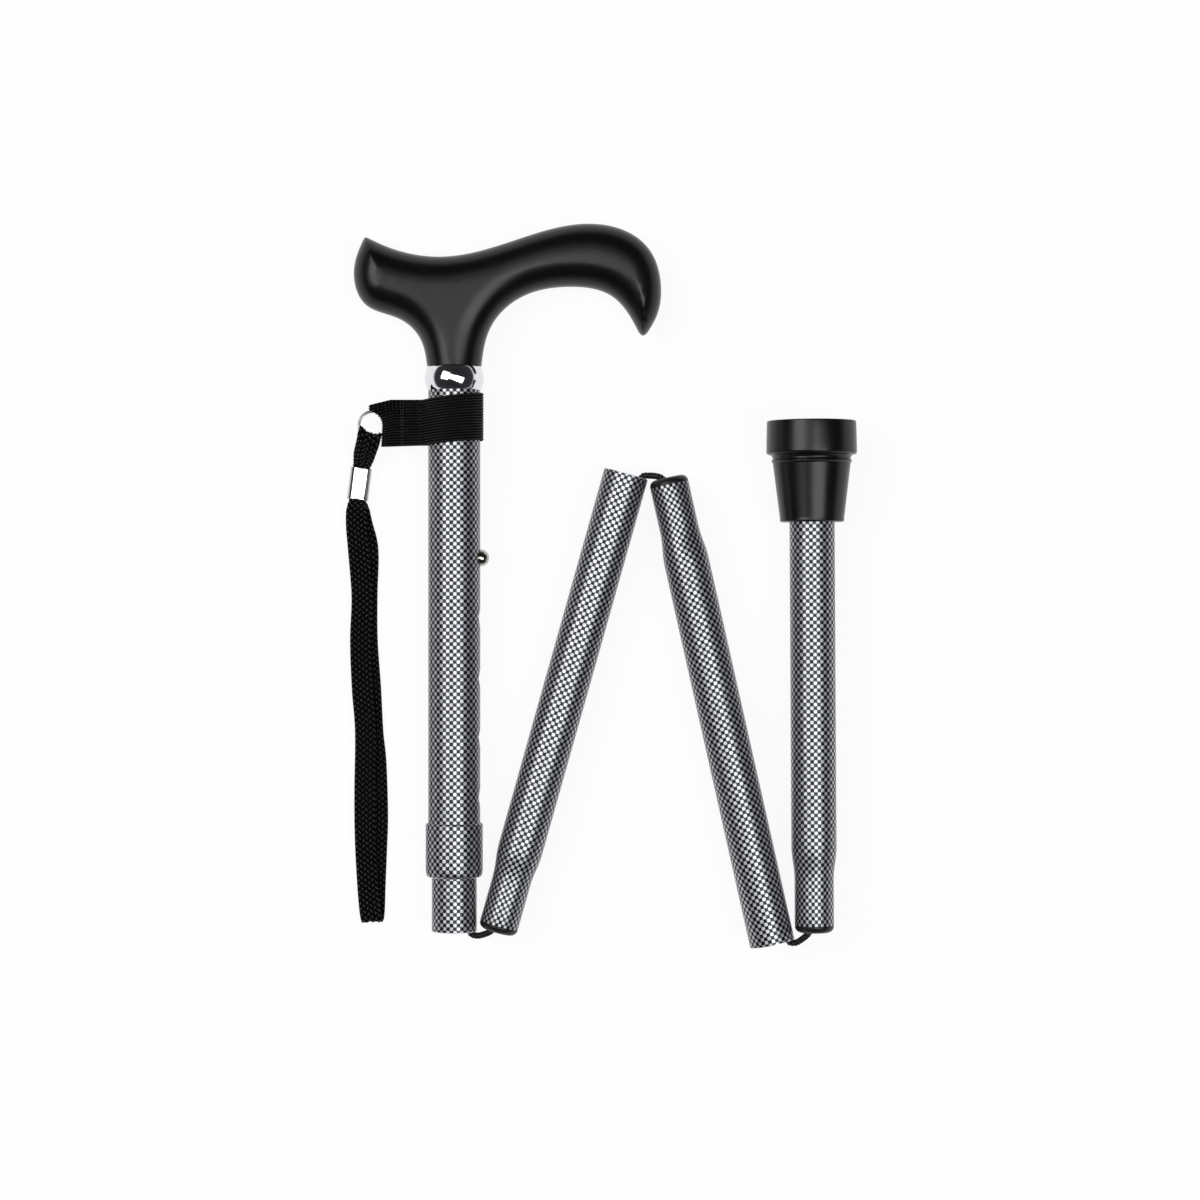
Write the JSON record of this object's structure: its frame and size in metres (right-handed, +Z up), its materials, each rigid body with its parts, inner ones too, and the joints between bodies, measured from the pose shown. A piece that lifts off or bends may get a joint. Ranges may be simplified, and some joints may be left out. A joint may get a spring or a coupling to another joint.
{
  "type": "folding cane",
  "caption": "Folding walking cane with a derby handle, a snap-button height setting, push-fit tube sections on an elastic cord, a wrist strap and a rubber ferrule.",
  "frame": {"origin": "under the middle of the cane as it lies folded out in a zigzag, on the table", "axes": "+Y along the handle section towards the crown, +X towards the lower section, +Z up from the table"},
  "size_m": [0.2161, 0.3055, 0.0384],
  "materials": {
    "handle_lacquer": "black satin lacquer on wood",
    "collar_chrome": "bright chrome plate",
    "inner_plastic": "moulded nylon",
    "plain_steel": "plain steel",
    "check_tube": "aluminium with a fine black and silver check print under gloss lacquer",
    "elastic_webbing": "ribbed woven elastic",
    "ring_steel": "bright wire",
    "crimp_metal": "bright nickel plate",
    "strap_braid": "flat braided polyester",
    "button_steel": "polished steel",
    "elastic_cord": "braided sleeve over rubber",
    "plug_plastic": "black moulded plastic",
    "ferrule_rubber": "matt moulded rubber"
  },
  "bodies": {
    "handle_section": {"handle": "handle_lacquer", "handle_collar": "collar_chrome", "handle_spigot": "inner_plastic", "spigot_screw": "plain_steel", "upper_tube": "check_tube", "collet": "inner_plastic", "strap_band": "elastic_webbing"},
    "collar_body": {"lock_collar": "check_tube"},
    "wrist_strap": {"strap_ring": "ring_steel", "strap_crimp": "crimp_metal", "strap_bight": "strap_braid", "strap_loop": "strap_braid"},
    "height_section": {"height_tube": "check_tube", "top_bush": "inner_plastic", "snap_spring": "plain_steel", "upper_anchor": "inner_plastic", "height_cord": "elastic_cord"},
    "button_body": {"snap_button": "button_steel"},
    "upper_link": {"upper_bend": "elastic_cord"},
    "second_section": {"second_tube": "check_tube", "second_plug": "plug_plastic", "second_cord": "elastic_cord"},
    "middle_link": {"middle_bend": "elastic_cord"},
    "third_section": {"third_tube": "check_tube", "third_plug": "plug_plastic", "third_cord": "elastic_cord"},
    "lower_link": {"lower_bend": "elastic_cord"},
    "lower_section": {"lower_tube": "check_tube", "lower_plug": "plug_plastic", "lower_cord": "elastic_cord", "lower_anchor": "inner_plastic", "ferrule": "ferrule_rubber", "ferrule_washer": "plain_steel"}
  },
  "joints": [
    {"name": "collar_turn", "type": "hinge", "parent": "handle_section", "child": "collar_body", "pos_m": [-0.0634, -0.1119, 0.0121], "axis": [0, 1, 0], "range_deg": [0, 180]},
    {"name": "strap_swing", "type": "hinge", "parent": "handle_section", "child": "wrist_strap", "pos_m": [-0.0978, 0.0676, 0.0121], "axis": [0, 0, 1], "range_deg": [-90, 3]},
    {"name": "height_slide", "type": "slide", "parent": "handle_section", "child": "height_section", "axis": [0, -1, 0], "range_m": [0, 0.1016], "deforming": ["snap_button"]},
    {"name": "button_press", "type": "slide", "parent": "height_section", "child": "button_body", "axis": [-1, 0, 0], "range_m": [0, 0.005], "stiffness_N_per_m": 900, "springref_m": -0.002, "deforming": ["snap_spring"]},
    {"name": "upper_fold", "type": "hinge", "parent": "height_section", "child": "upper_link", "pos_m": [-0.05438, -0.14547, 0.01251], "axis": [0.0458, 0, -0.999], "range_deg": [-4, 164.24], "deforming": ["upper_bend"]},
    {"name": "upper_seat", "type": "slide", "parent": "upper_link", "child": "second_section", "axis": [-0.2713, -0.9624, -0.0124], "range_m": [0, 0.0256]},
    {"name": "middle_fold", "type": "hinge", "parent": "second_section", "child": "middle_link", "pos_m": [0.0178, 0.04443, 0.01582], "axis": [-0.0458, 0, 0.999], "range_deg": [-3.7, 151.58], "deforming": ["middle_bend"]},
    {"name": "middle_seat", "type": "slide", "parent": "middle_link", "child": "third_section", "axis": [-0.2189, 0.9757, -0.01], "range_m": [0, 0.0256]},
    {"name": "lower_fold", "type": "hinge", "parent": "third_section", "child": "lower_link", "pos_m": [0.07934, -0.14783, 0.01864], "axis": [0.0458, 0, -0.999], "range_deg": [-4.09, 167.67], "deforming": ["lower_bend"]},
    {"name": "lower_seat", "type": "slide", "parent": "lower_link", "child": "lower_section", "axis": [0.0058, -1, 0.0003], "range_m": [0, 0.0256]}
  ],
  "couplings": [
    {"joint": "middle_fold", "follows": "upper_fold", "ratio": 0.92291},
    {"joint": "lower_fold", "follows": "upper_fold", "ratio": 1.0209}
  ]
}
